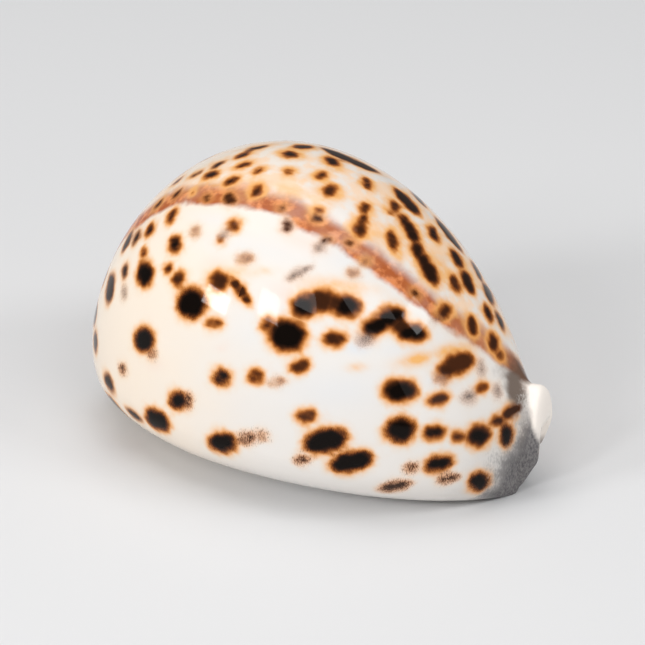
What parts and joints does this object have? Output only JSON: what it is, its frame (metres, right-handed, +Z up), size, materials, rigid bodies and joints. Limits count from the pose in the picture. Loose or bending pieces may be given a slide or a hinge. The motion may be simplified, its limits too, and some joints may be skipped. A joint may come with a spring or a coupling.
{
  "type": "cowrie shell",
  "caption": "Whole sea-snail shell: a glossy spotted egg-shaped dome with a beaked front, resting on a flattened base split by a long toothed slit.",
  "frame": {"origin": "on the ground under the middle of the shell's bounding box", "axes": "+X towards the narrow front end with the beak, +Y towards the inner lip's side, +Z up out of the back of the dome; the mouth faces down"},
  "size_m": [0.0898, 0.0619, 0.0552],
  "materials": {
    "shell": "gloss"
  },
  "bodies": {
    "root": {"shell": "shell"}
  },
  "joints": []
}
